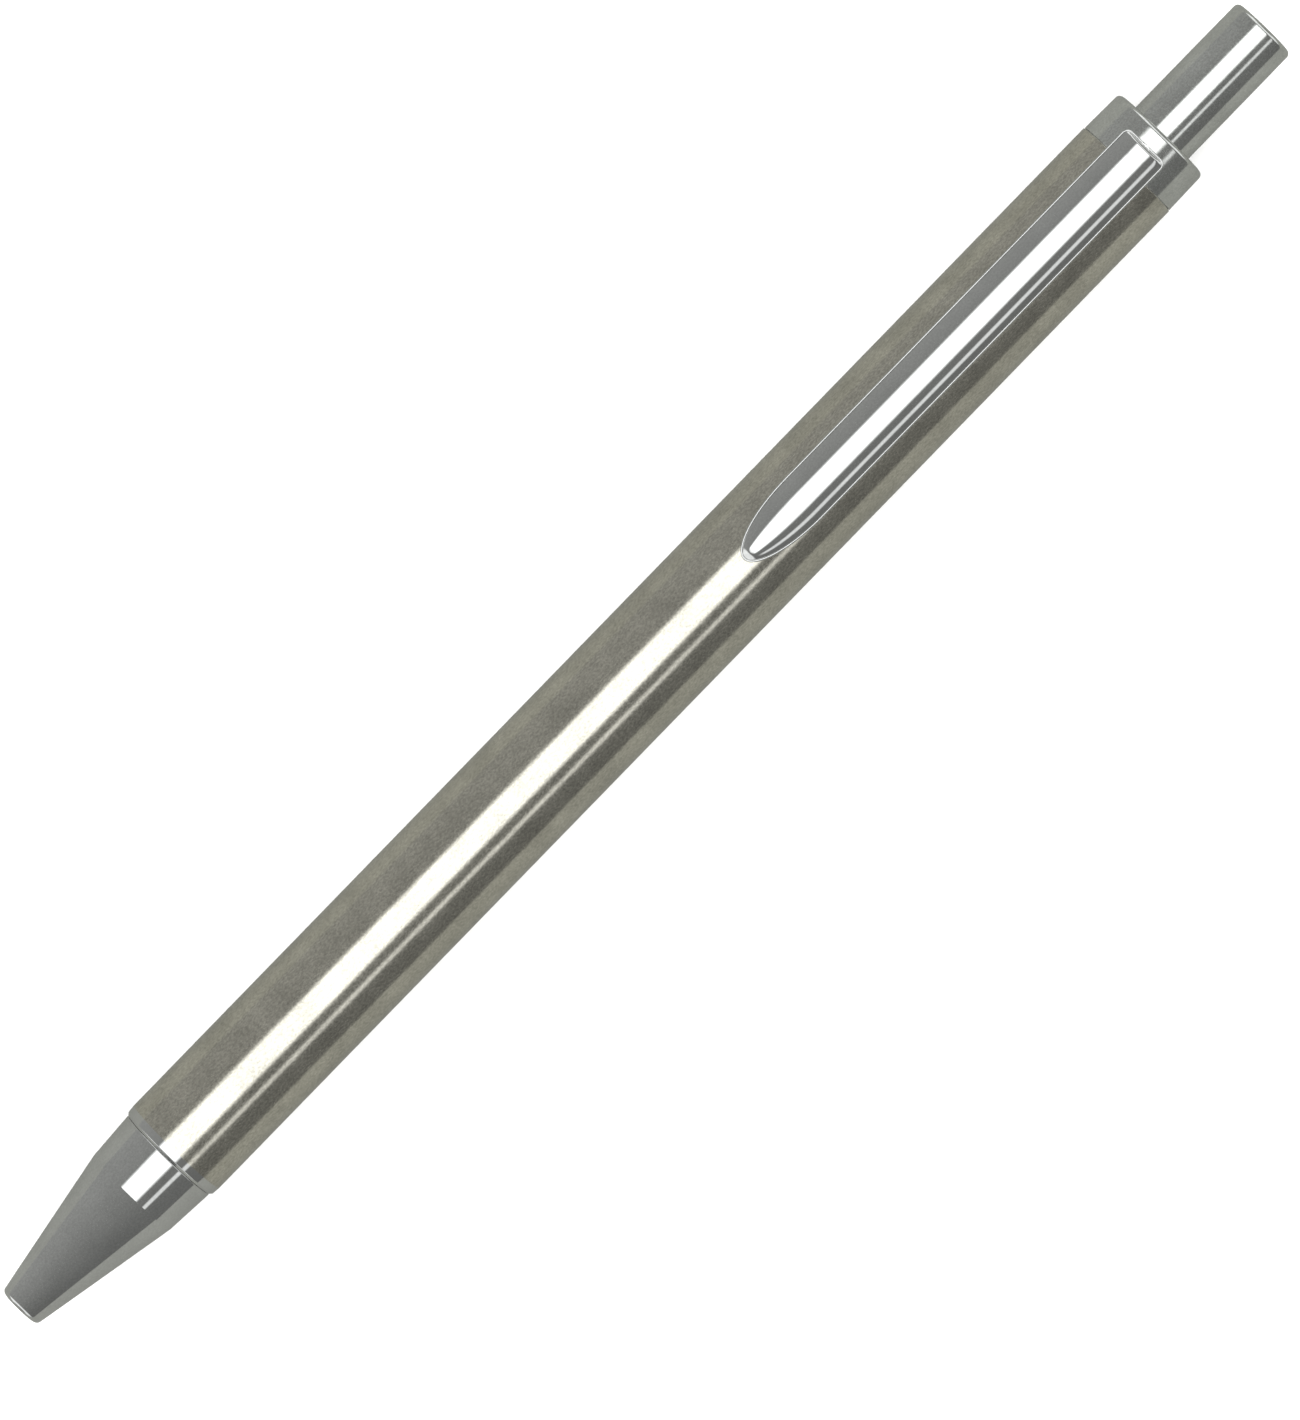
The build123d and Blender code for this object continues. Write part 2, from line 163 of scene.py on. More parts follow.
def turned(name, outline):
    """A turned piece: a closed outline of corners spun about the pen's axis."""
    profile = rounded(outline)
    points, rings = [], []
    for station, radius, _ in profile:
        if radius < 1e-6:
            rings.append([len(points)] * AROUND)
            points.append(at(station, 0, 0))
            continue
        rings.append(list(range(len(points), len(points) + AROUND)))
        for step in range(AROUND):
            angle = 2 * pi * step / AROUND
            points.append(at(station, radius * sin(angle), radius * cos(angle)))
    faces, crisp_edges = [], []
    count = len(profile)
    for index in range(count):
        here, after = rings[index], rings[(index + 1) % count]
        if here[0] == here[1] and after[0] == after[1]:
            continue
        for step in range(AROUND):
            beside = (step + 1) % AROUND
            corners = [here[step], here[beside], after[beside], after[step]]
            faces.append(list(dict.fromkeys(corners)))
            if profile[index][2]:
                crisp_edges.append((here[step], here[beside]))
    return mesh_piece(name, points, faces, crisp_edges)


def finish_piece(piece, body, slot, *replaced):
    """Give a piece its body, its material slot and material, and hide the CAD nodes it stands for."""
    piece.data.materials.append(MATERIALS[slot])
    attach(piece, body)
    if replaced:
        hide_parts(*replaced)
    return piece


# ---- node tools ----
def add(tree, kind, inputs=None, **settings):
    """A new shader node, with its settings, and its inputs set to values or joined to sockets."""
    made = tree.nodes.new("ShaderNode" + kind)
    for name, value in settings.items():
        setattr(made, name, value)
    for name, value in (inputs or {}).items():
        if isinstance(value, bpy.types.NodeSocket):
            tree.links.new(value, made.inputs[name])
        else:
            made.inputs[name].default_value = value
    return made


def compute(tree, operation, first, second=0.0):
    """The result of one Math node."""
    return add(tree, "Math", {0: first, 1: second}, operation=operation).outputs[0]


def blend_colours(tree, share, first, second):
    """A colour that goes from the first to the second as the share goes from 0 to 1."""
    mix = add(tree, "Mix", {0: share, 6: first, 7: second}, data_type="RGBA")
    return mix.outputs[2]


def smooth_rise(tree, value, start, end):
    """0 below start and 1 above end, or the other way round if start is above end."""
    low, high = min(start, end), max(start, end)
    ends = (0.0, 1.0) if start < end else (1.0, 0.0)
    inputs = {"Value": value, "From Min": low, "From Max": high, "To Min": ends[0], "To Max": ends[1]}
    return add(tree, "MapRange", inputs, interpolation_type="SMOOTHSTEP").outputs[0]


# ---- the studio: a dim soft room with a panel overhead, a strip light and a panel at each end ----
# "Across" is the angle from straight up round the pen's axis, positive on the -Y side, and "along"
# is the angle from that ring towards the button end, both in degrees.
PANEL_COLOUR = (0.98, 1.0, 1.0, 1.0)
ROOM_COLOUR = (0.98, 1.0, 0.97, 1.0)
ROOM_FAR_SIDE = 0.4
ROOM_NEAR_SIDE = 0.2
ROOM_SIDES = (-90.0, 90.0)
PANEL_EDGE = 8.0
PANEL_LENGTH = (-15.0, 15.0)

# Each panel's middle and half width across, and its brightness.
OVERHEAD_PANEL = (0.0, 18.0, 1.9)
STRIP_LIGHT = (45.0, 2.0, 0.9)

# Past each end of the pen stands a broad panel, given by its start and end along.
END_PANEL = (40.0, 62.0)
END_PANEL_BRIGHTNESS = 1.0

# The floor and the backdrop read white to the eye, and the metal mirrors the floor as a soft grey.
# The soft light is what matt surfaces and the floor receive from all round.
PAPER = (0.90, 0.90, 0.895, 1.0)
PAPER_IN_REFLECTIONS = (0.22, 0.225, 0.21, 1.0)
SOFT_LIGHT = (1.0, 1.0, 0.99, 1.0)
SOFT_LIGHT_STRENGTH = 2.1
BACKGROUND = (1.0, 1.0, 0.99, 1.0)


def inside(tree, angle, start, end, edge):
    """1 between two angles and 0 outside them, with soft edges."""
    rise = smooth_rise(tree, angle, start - edge, start)
    fall = smooth_rise(tree, angle, end + edge, end)
    return compute(tree, "MULTIPLY", rise, fall)


def panel_of_light(tree, across, along, panel):
    """How much light a panel gives in a direction."""
    middle, half_width, brightness = panel
    edge = min(PANEL_EDGE, 2 * half_width)
    width = inside(tree, across, middle - half_width, middle + half_width, edge)
    length = inside(tree, along, *PANEL_LENGTH, PANEL_EDGE)
    return compute(tree, "MULTIPLY", compute(tree, "MULTIPLY", width, length), brightness)


def studio():
    """The world: a soft room and its panels for the reflections, and a pale backdrop for the eye."""
    world = bpy.data.worlds.new("studio")
    bpy.context.scene.world = world
    world.use_nodes = True
    tree = world.node_tree
    tree.nodes.clear()
    direction = add(tree, "TexCoord").outputs["Generated"]
    parts = add(tree, "SeparateXYZ", {0: direction}).outputs
    towards = compute(tree, "MULTIPLY", parts["Y"], -1.0)
    across = compute(tree, "DEGREES", compute(tree, "ARCTAN2", towards, parts["Z"]))
    along = compute(tree, "DEGREES", compute(tree, "ARCSINE", parts["X"]))
    near = smooth_rise(tree, across, *ROOM_SIDES)
    drop = compute(tree, "MULTIPLY", near, ROOM_NEAR_SIDE - ROOM_FAR_SIDE)
    walls = compute(tree, "ADD", drop, ROOM_FAR_SIDE)
    overhead = panel_of_light(tree, across, along, OVERHEAD_PANEL)
    strip = panel_of_light(tree, across, along, STRIP_LIGHT)
    ends = inside(tree, compute(tree, "ABSOLUTE", along), *END_PANEL, PANEL_EDGE)
    ends = compute(tree, "MULTIPLY", ends, END_PANEL_BRIGHTNESS)
    lights = compute(tree, "ADD", compute(tree, "ADD", overhead, strip), ends)
    room = add(tree, "Background", {"Color": ROOM_COLOUR, "Strength": walls})
    panels = add(tree, "Background", {"Color": PANEL_COLOUR, "Strength": lights})
    mirrored = add(tree, "AddShader", {0: room.outputs[0], 1: panels.outputs[0]})
    soft = add(tree, "Background", {"Color": SOFT_LIGHT, "Strength": SOFT_LIGHT_STRENGTH})
    backdrop = add(tree, "Background", {"Color": BACKGROUND, "Strength": 1.0})
    ray = add(tree, "LightPath").outputs
    lit = add(tree, "MixShader", {0: ray["Is Glossy Ray"], 1: soft.outputs[0], 2: mirrored.outputs[0]})
    mix = add(tree, "MixShader", {0: ray["Is Camera Ray"], 1: lit.outputs[0], 2: backdrop.outputs[0]})
    output = add(tree, "OutputWorld")
    tree.links.new(mix.outputs[0], output.inputs["Surface"])
    world.cycles.sampling_method = "NONE"


def table_top():
    """A plain pale table: it reads white, and gives the metal a soft grey to reflect."""
    half = 2.0
    corners = [(-half, -half, 0), (half, -half, 0), (half, half, 0), (-half, half, 0)]
    table = mesh_piece("table", corners, [(0, 1, 2, 3)])
    material = bpy.data.materials.new("table_paper")
    material.use_nodes = True
    tree = material.node_tree
    tree.nodes.clear()
    seen = add(tree, "LightPath").outputs["Is Camera Ray"]
    colour = blend_colours(tree, seen, PAPER_IN_REFLECTIONS, PAPER)
    matt = add(tree, "BsdfDiffuse", {"Color": colour})
    output = add(tree, "OutputMaterial")
    tree.links.new(matt.outputs[0], output.inputs["Surface"])
    table.data.materials.append(material)


def camera():
    """A long lens nearly straight above, with the pen running up to the right."""
    turn = radians(45.77)
    distance = 1.015
    view_height = 0.1145
    shift_right, shift_down = 0.73 * MM, 3.31 * MM
    lean_to_button, lean_to_side = radians(1.3), radians(2.05)
    right = Vector((cos(turn), -sin(turn), 0))
    up = Vector((sin(turn), cos(turn), 0))
    middle = (cad_low + cad_high) / 2
    target = Vector((middle.x, middle.y, AXIS_HEIGHT)) + shift_right * right - shift_down * up
    back = Vector((tan(lean_to_button), -tan(lean_to_side), 1)).normalized()
    up = (up - up.dot(back) * back).normalized()
    right = up.cross(back)
    data = bpy.data.cameras.new("camera")
    data.sensor_width = 36
    data.lens = data.sensor_width * distance / view_height
    data.clip_start, data.clip_end = 0.01, 10
    eye = bpy.data.objects.new("camera", data)
    facing = Matrix((right, up, back)).transposed().to_4x4()
    eye.matrix_world = Matrix.Translation(target + distance * back) @ facing
    bpy.context.scene.collection.objects.link(eye)
    bpy.context.scene.camera = eye
    bpy.context.scene.view_settings.view_transform = "Standard"


# ---- materials ----
def new_material(name):
    """An empty material and its node tree, with coordinates in millimetres."""
    material = bpy.data.materials.new(name)
    material.use_nodes = True
    tree = material.node_tree
    tree.nodes.clear()
    place = add(tree, "TexCoord").outputs["Object"]
    scaled = add(tree, "VectorMath", {0: place, 1: (1 / MM, 1 / MM, 1 / MM)}, operation="MULTIPLY")
    return material, tree, scaled.outputs[0]


def stretched(tree, place, stretch):
    """Coordinates squeezed along the pen, so that what is drawn with them runs lengthwise."""
    return add(tree, "VectorMath", {0: place, 1: (1 / stretch, 1, 1)}, operation="MULTIPLY").outputs[0]


def noise(tree, place, scale, detail=2.0):
    """Smooth random values about 0.5, with features of 1 / scale millimetres."""
    inputs = {"Vector": place, "Scale": scale, "Detail": detail, "Roughness": 0.55}
    return add(tree, "TexNoise", inputs).outputs["Fac"]


def spread(tree, value, low, high):
    """Noise values stretched to run from low to high."""
    inputs = {"Value": value, "From Min": 0.3, "From Max": 0.7, "To Min": low, "To Max": high}
    return add(tree, "MapRange", inputs).outputs[0]


def metal(name, colour, roughness, grain, grain_size, stretch=1.0, cloud=0.03):
    """Metal with a fine grain, slow changes of tone, and smudges that change its gloss.

    grain is the depth of the grain in millimetres and grain_size the width of one grain;
    stretch makes the grains long, as brushing does.
    """
    material, tree, place = new_material(name)
    long_place = stretched(tree, place, stretch)
    fine = noise(tree, long_place, 1 / grain_size, 3.0)
    slow = noise(tree, place, 0.35, 2.0)
    smudge = noise(tree, place, 0.9, 4.0)
    tone = compute(tree, "MULTIPLY", spread(tree, fine, 1 - cloud, 1 + cloud),
                   spread(tree, slow, 1 - cloud / 2, 1 + cloud / 2))
    tinted = add(tree, "VectorMath", {0: colour, "Scale": tone}, operation="SCALE").outputs[0]
    gloss = compute(tree, "ADD", spread(tree, fine, roughness * 0.9, roughness * 1.1),
                    spread(tree, smudge, -0.08 * roughness, 0.12 * roughness))
    bump = add(tree, "Bump", {"Height": fine, "Strength": 1.0, "Distance": grain * MM})
    surface = add(tree, "BsdfPrincipled", {
        "Base Color": tinted, "Metallic": 1.0, "Roughness": gloss, "Normal": bump.outputs[0]})
    output = add(tree, "OutputMaterial")
    tree.links.new(surface.outputs[0], output.inputs["Surface"])
    return material


def plastic(name, colour, roughness, grain, grain_size, cloud=0.05):
    """Moulded plastic or pressed fibre: a faint texture, uneven colour and a slightly worn gloss."""
    material, tree, place = new_material(name)
    fine = noise(tree, place, 1 / grain_size, 3.0)
    slow = noise(tree, place, 0.5, 2.0)
    tone = compute(tree, "MULTIPLY", spread(tree, fine, 1 - cloud, 1 + cloud),
                   spread(tree, slow, 1 - cloud, 1 + cloud))
    tinted = add(tree, "VectorMath", {0: colour, "Scale": tone}, operation="SCALE").outputs[0]
    gloss = compute(tree, "ADD", spread(tree, slow, roughness * 0.85, roughness * 1.15),
                    spread(tree, fine, -0.03, 0.03))
    bump = add(tree, "Bump", {"Height": fine, "Strength": 1.0, "Distance": grain * MM})
    surface = add(tree, "BsdfPrincipled", {
        "Base Color": tinted, "Roughness": gloss, "Normal": bump.outputs[0], "IOR": 1.48})
    output = add(tree, "OutputMaterial")
    tree.links.new(surface.outputs[0], output.inputs["Surface"])
    return material


def film(name, colour):
    """Thin clear film, faintly tinted, with soft wrinkles."""
    material, tree, place = new_material(name)
    wrinkle = noise(tree, stretched(tree, place, 6.0), 1.2, 3.0)
    tone = spread(tree, wrinkle, 0.94, 1.0)
    tinted = add(tree, "VectorMath", {0: colour, "Scale": tone}, operation="SCALE").outputs[0]
    bump = add(tree, "Bump", {"Height": wrinkle, "Strength": 1.0, "Distance": 0.01 * MM})
    surface = add(tree, "BsdfPrincipled", {
        "Base Color": tinted, "Roughness": spread(tree, wrinkle, 0.04, 0.12), "IOR": 1.45,
        "Transmission Weight": 0.92, "Normal": bump.outputs[0]})
    output = add(tree, "OutputMaterial")
    tree.links.new(surface.outputs[0], output.inputs["Surface"])
    return material


STEEL = (0.60, 0.60, 0.595)
SATIN = (0.60, 0.605, 0.59)
MATERIALS = {
    "brushed_barrel": metal("brushed_barrel", (0.56, 0.535, 0.47), 0.145, 0.0003, 0.17, 1.5, 0.22),
    "polished_nose": metal("polished_nose", STEEL, 0.055, 0.0001, 0.18, 1.0, 0.09),
    "polished_ring": metal("polished_ring", STEEL, 0.06, 0.0001, 0.2, 1.0, 0.05),
    "polished_clip": metal("polished_clip", STEEL, 0.06, 0.0001, 0.18, 1.0, 0.07),
    "satin_collar": metal("satin_collar", SATIN, 0.13, 0.0005, 0.18, 1.0, 0.14),
    "satin_button": metal("satin_button", SATIN, 0.11, 0.0005, 0.18, 1.0, 0.14),
    "needle_steel": metal("needle_steel", (0.56, 0.55, 0.53), 0.14, 0.0003, 0.08, 3.0, 0.03),
    "point_steel": metal("point_steel", (0.58, 0.56, 0.53), 0.10, 0.0002, 0.08, 1.0, 0.03),
    "ball_carbide": metal("ball_carbide", (0.40, 0.40, 0.42), 0.12, 0.0001, 0.05, 1.0, 0.03),
    "spring_steel": metal("spring_steel", (0.52, 0.50, 0.47), 0.18, 0.0004, 0.05, 1.0, 0.05),
    "refill_metal": metal("refill_metal", (0.70, 0.66, 0.58), 0.10, 0.0002, 0.15, 8.0, 0.02),
    "refill_black": plastic("refill_black", (0.018, 0.018, 0.02), 0.35, 0.002, 0.1, 0.15),
    "cam_plastic": plastic("cam_plastic", (0.70, 0.70, 0.67), 0.38, 0.002, 0.12, 0.04),
    "cam_sleeve": plastic("cam_sleeve", (0.12, 0.12, 0.125), 0.42, 0.002, 0.12, 0.08),
    "ink_fibre": plastic("ink_fibre", (0.03, 0.035, 0.11), 0.85, 0.02, 0.08, 0.3),
    "clear_film": film("clear_film", (0.92, 0.94, 0.95)),
}
NODE_MATERIALS = {
    "nose_cone": "polished_nose", "front_bush": "polished_ring", "barrel_tube": "brushed_barrel",
    "top_collar": "satin_collar", "pocket_clip": "polished_clip", "push_button": "satin_button",
    "plunger": "cam_plastic", "cam_rotor": "cam_plastic", "cam_sleeve": "cam_sleeve",
    "return_spring": "spring_steel", "refill_tube": "refill_metal", "refill_end_plug": "refill_black",
    "point_holder": "refill_black", "needle_tube": "needle_steel", "point_tip": "point_steel",
    "writing_ball": "ball_carbide", "ball_spring": "spring_steel", "feed_wick": "ink_fibre",
    "ink_reservoir": "ink_fibre", "reservoir_film": "clear_film",
}


# ---- outside of the pen ----
def nose_cone():
    """The nose: a cone, a short band, a spigot for the thread, and the bores for point and refill."""
    outline = [
        (0.0, 1.425, 0.15), (0.0, 1.915, 0.45), (13.07, 4.3), (NOSE_END, NOSE_END_RADIUS, 0.15),
        (NOSE_END, 3.88), (22.6, 3.88, 0.15), (22.6, 3.63), (15.4, 3.63), (15.4, 3.4),
        (12.2, 3.4), (12.2, 2.65), (SPRING_SEAT, 2.65), (SPRING_SEAT, 1.425),
    ]
    finish_piece(turned("nose_cone_turned", outline), "nose", "polished_nose", "nose_cone")


def front_ring():
    """The tapered ring between the nose and the barrel, and the bush behind it."""
    shoulder = (NOSE_END + RING_EDGE, RING_EDGE_RADIUS, 0.1)
    outline = [
        (NOSE_END, 4.12), (NOSE_END, NOSE_END_RADIUS), shoulder, (BARREL_START, BARREL_RADIUS),
        (BARREL_START, BARREL_BORE), (24.2, BARREL_BORE), (24.2, 4.12),
    ]
    finish_piece(turned("front_bush_turned", outline), "barrel", "polished_ring", "front_bush")


def barrel():
    """The brushed steel tube."""
    outline = [
        (BARREL_START, BARREL_BORE), (BARREL_START, BARREL_RADIUS),
        (BARREL_END, BARREL_RADIUS, 0.05), (BARREL_END, BARREL_BORE),
    ]
    finish_piece(turned("barrel_tube_turned", outline), "barrel", "brushed_barrel", "barrel_tube")


def collar():
    """The collar that holds the clip and guides the button, with a slot for the clip's leg."""
    seam = BARREL_END + 0.06
    outline = [
        (116.0, 3.75), (116.0, BARREL_BORE), (seam, BARREL_BORE), (seam, 4.75, 0.05),
        (128.75, 4.74, "smooth"), (129.9, 4.72, "smooth"),
        (COLLAR_END, 4.685, 0.45), (COLLAR_END, 3.05, 0.12), (126.8, 3.05), (126.8, 3.75),
    ]
    piece = turned("top_collar_turned", outline)
    cutter = extruded("slot_cutter", leg_outline(0.47, 0.1, 6.0), 1.3)
    cut = piece.modifiers.new("slot", "BOOLEAN")
    cut.operation, cut.object = "DIFFERENCE", cutter
    evaluated = piece.evaluated_get(bpy.context.evaluated_depsgraph_get())
    piece.data = bpy.data.meshes.new_from_object(evaluated)
    piece.data.set_sharp_from_angle(angle=radians(35))
    piece.modifiers.clear()
    bpy.data.objects.remove(cutter)
    finish_piece(piece, "barrel", "satin_collar", "top_collar")


def button():
    """The hollow push button."""
    outline = [
        (126.0, 2.45), (126.0, 3.6, 0.05), (126.75, 3.6, 0.05), (126.75, 2.975),
        (PEN_LENGTH, 2.975, 0.45), (PEN_LENGTH, 0.0), (143.0, 0.0), (143.0, 2.45),
    ]
    finish_piece(turned("push_button_turned", outline), "button", "satin_button", "push_button")


# ---- clip ----
CLIP_HALF_WIDTH = 2.2
CLIP_TIP_LENGTH = 7.0
CLIP_CORNER = 0.65
CLIP_RIM_HEIGHT = 0.3
CLIP_CROWN = 0.55
CLIP_SHEET = 0.4
CLIP_PIVOT, CLIP_BEAD_HEIGHT = 129.3, 3.95
DOME_EDGE = (0.19, -0.05)
NUB_STATION, NUB_HEIGHT, NUB_RADIUS = 87.7, 5.55, 0.7


def rim_underside(station):
    """The height of the rim's underside above the axis: it rises towards the nub."""
    return 4.55 + (5.5 - 4.55) * (CLIP_END - station) / (CLIP_END - NUB_STATION)


def clip_plan():
    """The clip's edge seen from above, from its tip along one side to the middle of its end."""
    edge = []
    for step in range(25):
        turn = pi / 2 * step / 24
        edge.append((CLIP_TIP + CLIP_TIP_LENGTH * (1 - cos(turn)), CLIP_HALF_WIDTH * sin(turn)))
    straight_end = CLIP_END - CLIP_CORNER
    first = edge[-1][0]
    for step in range(1, 31):
        share = 1 - (1 - step / 30) ** 2
        edge.append((first + (straight_end - first) * share, CLIP_HALF_WIDTH))
    for step in range(1, 11):
        turn = pi / 2 * step / 10
        edge.append((straight_end + CLIP_CORNER * sin(turn),
                     CLIP_HALF_WIDTH - CLIP_CORNER * (1 - cos(turn))))
    last = edge[-1][1]
    for step in range(1, 13):
        edge.append((CLIP_END, last * (1 - step / 12)))
    return edge


def moved_in(edge, distance):
    """The same edge moved inwards by a distance."""
    moved = []
    for index, here in enumerate(edge):
        before = edge[index - 1] if index else (edge[1][0], -edge[1][1])
        after = edge[index + 1] if index + 1 < len(edge) else (edge[-2][0], -edge[-2][1])
        run = (Vector(after) - Vector(before)).normalized()
        moved.append((here[0] + distance * run.y, here[1] - distance * run.x))
    return moved


def crown(share):
    """The height of a low arc, 1 in its middle (0) and 0 at its edge (1)."""
    half = CLIP_HALF_WIDTH - DOME_EDGE[0]
    curve = (half ** 2 + CLIP_CROWN ** 2) / (2 * CLIP_CROWN)
    return (sqrt(curve ** 2 - (half * min(share, 1.0)) ** 2) - curve + CLIP_CROWN) / CLIP_CROWN


def dome_loops(edge, depth, end_run):
    """Loops of (station, side, height above the edge) that climb from an edge to the middle."""
    half = max(side for _, side in edge)
    tip_end = CLIP_TIP + CLIP_TIP_LENGTH
    spine_start, spine_end = edge[0][0] + 0.6, edge[-1][0] - half
    fractions = [0, 0.01, 0.03, 0.06, 0.09, 0.12, 0.16, 0.22, 0.3, 0.4, 0.52, 0.64, 0.76, 0.88, 1]

    def height(station, side, fraction):
        along = max(0.0, min((station - edge[0][0]) / (tip_end - edge[0][0]), 1.0))
        from_end = max(0.0, min((edge[-1][0] - station) / end_run, 1.0))
        across = 1 - fraction if station < tip_end else side / half
        closing = sqrt(1 - (1 - from_end) ** 2)
        return depth * sqrt(1 - (1 - along) ** 2) * crown(across) * closing

    loops = []
    for fraction in fractions:
        loop = []
        for station, side in edge:
            middle = min(max(station, spine_start), spine_end)
            place = (station + (middle - station) * fraction, side * (1 - fraction))
            start = height(station, side, 0.0)
            fade = max(0.0, 1 - fraction / 0.2) ** 2
            loop.append((*place, height(*place, fraction) - start * fade))
        loops.append(loop)
    return loops


def clip():
    """The clip: a low dome with a thin rounded rim, hollow below, and a solid root."""
    plan = clip_plan()
    rim_arc = [(0.0, -CLIP_RIM_HEIGHT), (0.0, -0.1)]
    rim_arc += [(0.1 - 0.1 * cos(radians(turn)), -0.1 + 0.1 * sin(radians(turn)))
                for turn in range(18, 145, 18)]
    loops = [[(*place, height) for place in moved_in(plan, inset)] for inset, height in rim_arc]
    dome_edge = moved_in(plan, DOME_EDGE[0])
    dome = dome_loops(dome_edge, CLIP_CROWN - DOME_EDGE[1], 0.3)
    loops += [[(station, side, height + DOME_EDGE[1]) for station, side, height in loop] for loop in dome]
    crisp_loop = len(rim_arc)
    inner_edge = moved_in(plan, DOME_EDGE[0] + CLIP_SHEET)
    hollow = dome_loops(inner_edge, CLIP_CROWN + CLIP_RIM_HEIGHT - CLIP_SHEET, 2.0)
    below = [[(station, side, height - CLIP_RIM_HEIGHT) for station, side, height in loop]
             for loop in hollow]
    loops = list(reversed(below)) + loops
    crisp_loops = {len(below) - 1, len(below), len(below) + crisp_loop}
    points, faces, crisp_edges = [], [], []
    rows = []
    for loop in loops:
        whole = loop + [(station, -side, height) for station, side, height in reversed(loop[1:-1])]
        rows.append(range(len(points), len(points) + len(whole)))
        for station, side, height in whole:
            level = rim_underside(station) + CLIP_RIM_HEIGHT + height
            clear = sqrt(max(0.0, (BARREL_RADIUS + 0.05) ** 2 - side ** 2))
            points.append(at(station, side, max(level, clear)))
    for number, (here, after) in enumerate(zip(rows, rows[1:])):
        count = len(here)
        for step in range(count):
            beside = (step + 1) % count
            faces.append((here[step], here[beside], after[beside], after[step]))
            if number in crisp_loops:
                crisp_edges.append((here[step], here[beside]))
    piece = welded(mesh_piece("pocket_clip_sheet", points, faces, crisp_edges))
    finish_piece(piece, "clip", "polished_clip", "pocket_clip")
    leg = extruded("clip_leg", leg_outline(0.45, 0.0, 4.8), 1.2)
    finish_piece(leg, "clip", "polished_clip")
    finish_piece(ball("clip_nub", NUB_STATION, NUB_HEIGHT, NUB_RADIUS), "clip", "polished_clip")


def leg_outline(bead_radius, room, top):
    """The side view of the clip's leg: a straight strip that ends in a round bead."""
    half = 0.3 + room
    gap = asin(half / bead_radius)
    outline = [(CLIP_PIVOT - half, top)]
    for step in range(25):
        turn = gap + (2 * pi - 2 * gap) * step / 24
        outline.append((CLIP_PIVOT - bead_radius * sin(turn), CLIP_BEAD_HEIGHT + bead_radius * cos(turn)))
    return outline + [(CLIP_PIVOT + half, top)]


def extruded(name, outline, half_width):
    """A straight piece lying across the pen, from its side view of (station, height) corners."""
    count = len(outline)
    points = [at(station, side, height) for side in (-half_width, half_width) for station, height in outline]
    faces = [tuple(range(count)), tuple(range(2 * count - 1, count - 1, -1))]
    crisp_edges = []
    for step in range(count):
        beside = (step + 1) % count
        faces.append((step, step + count, beside + count, beside))
        crisp_edges += [(step, beside), (step + count, beside + count)]
        if step in (0, 1, count - 2, count - 1):
            crisp_edges.append((step, step + count))
    return outwards(mesh_piece(name, points, faces, crisp_edges))


def ball(name, station, height, radius):
    """A small ball."""
    mesh = bpy.data.meshes.new(name)
    shape = bmesh.new()
    bmesh.ops.create_uvsphere(shape, u_segments=48, v_segments=24, radius=radius * MM)
    bmesh.ops.translate(shape, verts=shape.verts, vec=at(station, 0, height))
    shape.to_mesh(mesh)
    shape.free()
    mesh.shade_smooth()
    piece = bpy.data.objects.new(name, mesh)
    bpy.context.scene.collection.objects.link(piece)
    return piece


def outwards(piece):
    """Turn all the faces of a closed piece outwards."""
    shape = bmesh.new()
    shape.from_mesh(piece.data)
    bmesh.ops.recalc_face_normals(shape, faces=shape.faces)
    shape.to_mesh(piece.data)
    shape.free()
    return piece


def welded(piece):
    """Join points that lie on each other, drop what collapses, and turn the faces outwards."""
    shape = bmesh.new()
    shape.from_mesh(piece.data)
    bmesh.ops.remove_doubles(shape, verts=shape.verts, dist=0.0005 * MM)
    shape.to_mesh(piece.data)
    shape.free()
    return outwards(piece)


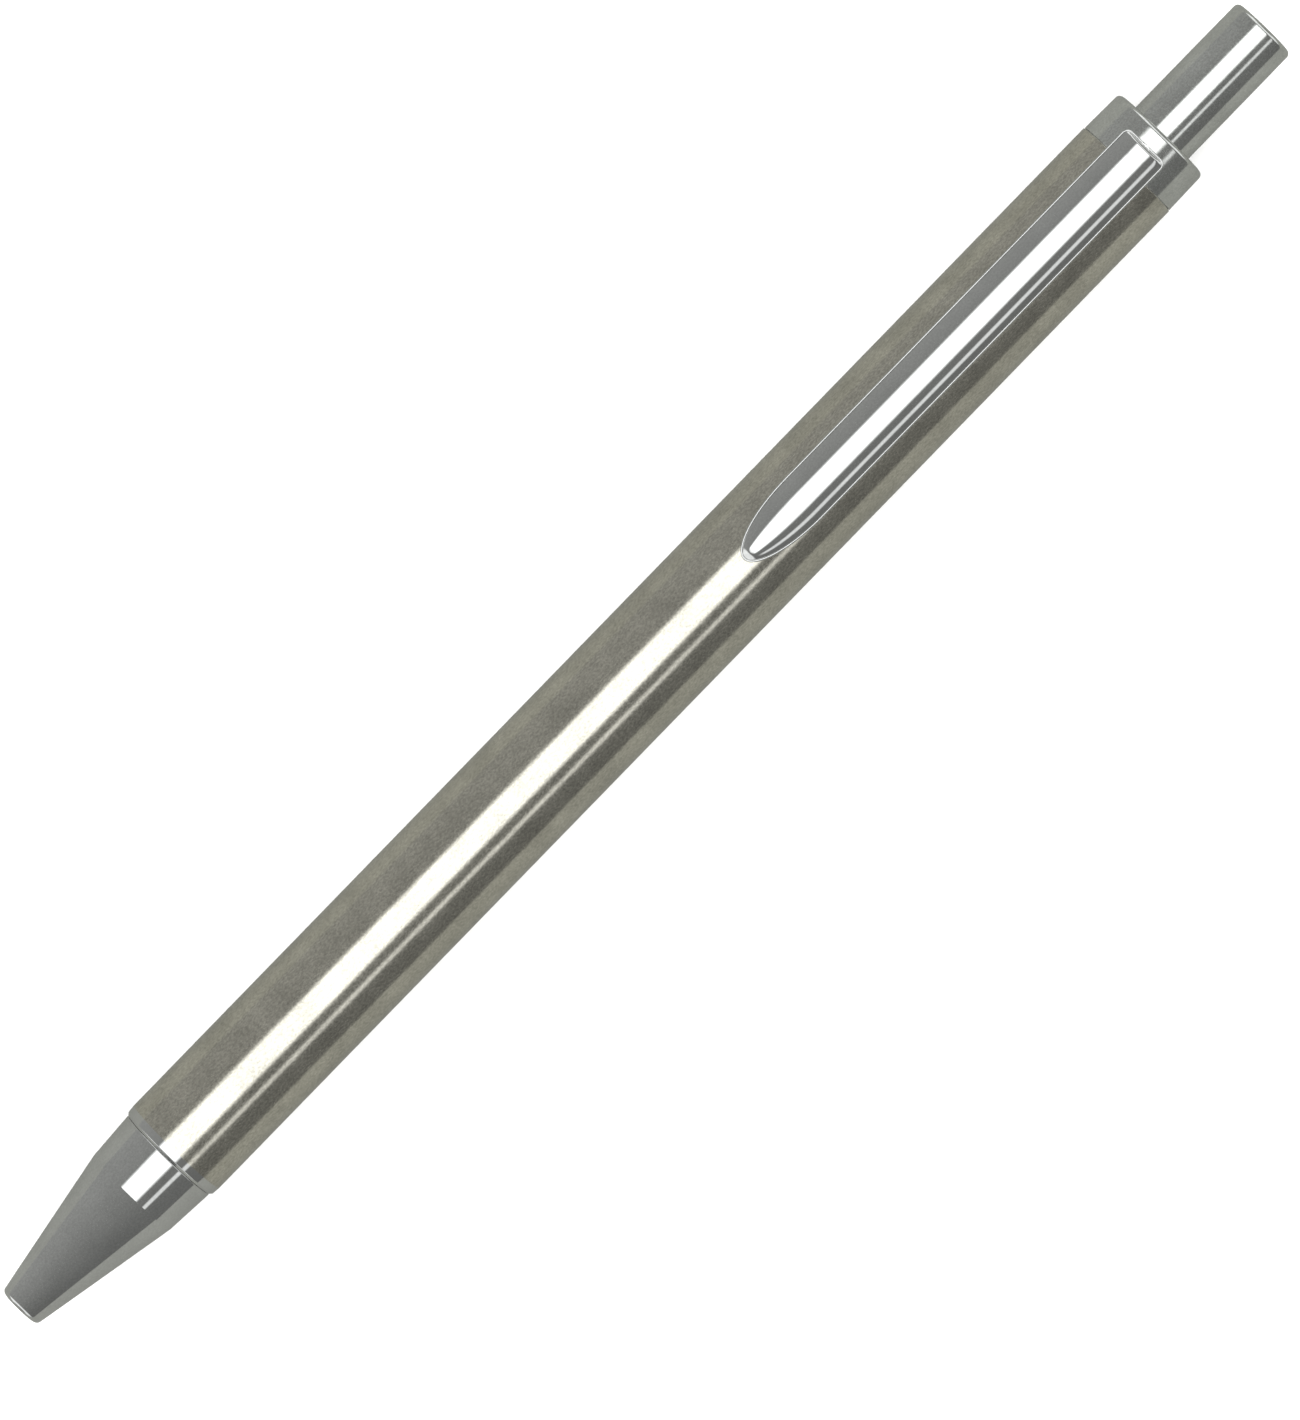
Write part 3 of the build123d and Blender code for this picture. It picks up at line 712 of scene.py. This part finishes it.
# ---- wound pieces ----
def wound(name, path, section_points):
    """A closed piece swept along (station, radius, angle, size) places wound about the axis."""
    points, faces = [], []
    count = len(section_points)
    for station, radius, angle, size in path:
        for along, out in section_points:
            reach = radius + out * size
            points.append(at(station + along * size, reach * sin(angle), reach * cos(angle)))
    for row in range(len(path) - 1):
        for step in range(count):
            beside = (step + 1) % count
            first, second = row * count, (row + 1) * count
            faces.append((first + step, first + beside, second + beside, second + step))
    last = (len(path) - 1) * count
    faces.append(tuple(range(count)))
    faces.append(tuple(range(last + count - 1, last - 1, -1)))
    return outwards(mesh_piece(name, points, faces))


def nose_thread():
    """The screw thread on the nose's spigot, running out at both ends."""
    pitch, per_turn, run_out = 0.75, 72, 1 / 12
    start, end = NOSE_END + pitch, 22.0
    root, crest = 3.865, 4.07
    steps = int((end - start) / pitch * per_turn)
    path = []
    for step in range(steps + 1):
        share = step / steps
        size = min(1.0, share / run_out, (1 - share) / run_out) * 0.98 + 0.02
        path.append((start + (end - start) * share, root, -2 * pi * step / per_turn, size))
    height = crest - root
    section = [(-0.3, 0.0), (-0.05, height), (0.05, height), (0.3, 0.0), (0.0, -0.1)]
    finish_piece(wound("nose_thread", path, section), "nose", "polished_nose")


def return_spring():
    """The return spring, with a closed turn at each end."""
    wire, turns, per_turn = 0.2, 9.0, 48
    start, end = span_of("return_spring")
    coil = radius_of("return_spring") - wire
    length = end - start - 2 * wire
    closed = 2 * wire / length
    path = []
    for step in range(int(turns * per_turn) + 1):
        turn = step / per_turn
        if turn < 1:
            share = closed * turn
        elif turn > turns - 1:
            share = 1 - closed * (turns - turn)
        else:
            share = closed + (1 - 2 * closed) * (turn - 1) / (turns - 2)
        path.append((start + wire + length * share, coil, 2 * pi * turn, 1.0))
    section = [(wire * cos(2 * pi * step / 12), wire * sin(2 * pi * step / 12)) for step in range(12)]
    piece = wound("return_spring_wire", path, section)
    finish_piece(piece, "spring", "spring_steel", "return_spring")
    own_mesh(piece)


# ---- everything ----
studio()
table_top()
camera()
nose_cone()
front_ring()
barrel()
collar()
button()
clip()
nose_thread()
return_spring()
for node, material in NODE_MATERIALS.items():
    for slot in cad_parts[node].material_slots:
        slot.material = MATERIALS[material]
